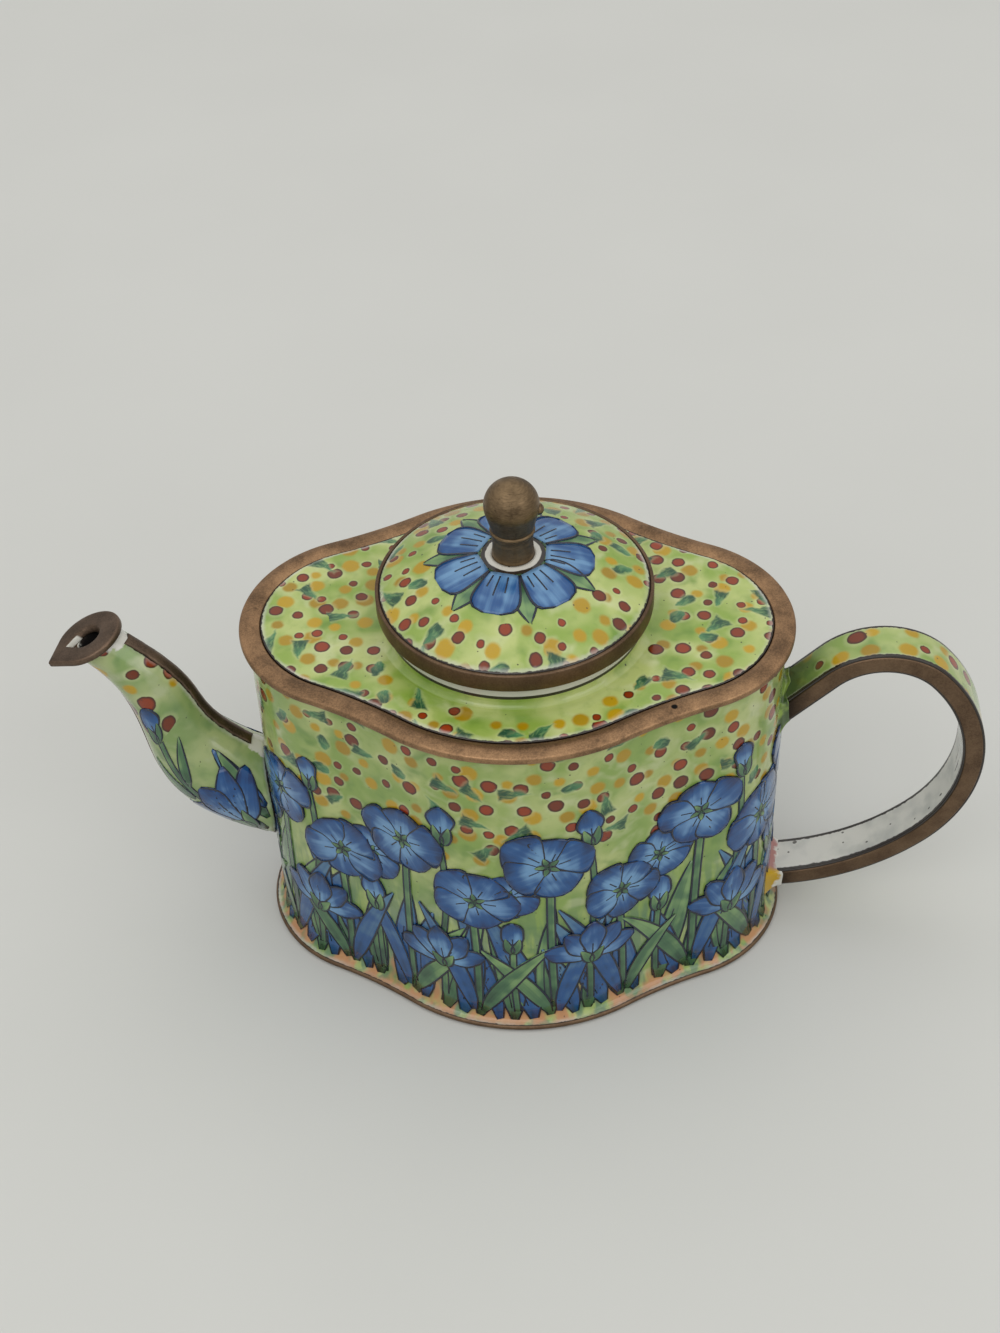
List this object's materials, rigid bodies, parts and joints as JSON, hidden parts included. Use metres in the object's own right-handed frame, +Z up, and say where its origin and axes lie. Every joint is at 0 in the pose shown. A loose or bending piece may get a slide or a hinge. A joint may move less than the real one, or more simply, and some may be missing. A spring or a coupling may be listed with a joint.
{
  "type": "miniature teapot",
  "caption": "Miniature enamelled copper teapot with a lobed oval body, a lift-off domed lid with a ball knob, a curved seamed spout and a strap handle.",
  "frame": {"origin": "centre of the underside, on the axis of the lid", "axes": "+Z up along the lid's axis, -X towards the spout, +X towards the handle, -Y the front"},
  "size_m": [0.1219, 0.052, 0.0729],
  "materials": {
    "copper": "satin, lightly tarnished copper",
    "dark_copper": "satin, dark tarnished copper",
    "green_enamel": "glossy painted enamel on a yellow-green ground",
    "white_enamel": "glossy plain white enamel",
    "steel": "plain"
  },
  "bodies": {
    "pot": {"base_plate": "dark_copper", "base_enamel": "white_enamel", "body_wall": "copper", "body_enamel": "green_enamel", "foot_enamel": "green_enamel", "interior_enamel": "white_enamel", "rim_band": "copper", "shoulder_plate": "copper", "shoulder_enamel": "green_enamel", "collar_ring": "copper", "collar_enamel": "white_enamel", "spout_front_half": "copper", "spout_rear_half": "copper", "spout_front_enamel": "green_enamel", "spout_rear_enamel": "green_enamel", "spout_lining": "white_enamel", "spout_top_seam": "dark_copper", "spout_bottom_seam": "dark_copper", "spout_lip": "dark_copper", "handle_strap": "copper", "handle_outer_enamel": "green_enamel", "handle_inner_enamel": "white_enamel"},
    "lid_seat": {"lid_flange": "copper", "lid_seat_ring": "copper"},
    "lid": {"lid_disc": "copper", "lid_rim_band": "dark_copper", "lid_enamel": "green_enamel", "lid_lining": "white_enamel", "knob": "dark_copper", "knob_screw": "steel", "knob_washer": "steel"}
  },
  "joints": [
    {"name": "lid_lift", "type": "slide", "parent": "pot", "child": "lid_seat", "axis": [0, 0, 1], "range_m": [0, 0.04]},
    {"name": "lid_turn", "type": "hinge", "parent": "lid_seat", "child": "lid", "pos_m": [0, 0, 0.06], "axis": [0, 0, 1], "continuous": true}
  ]
}
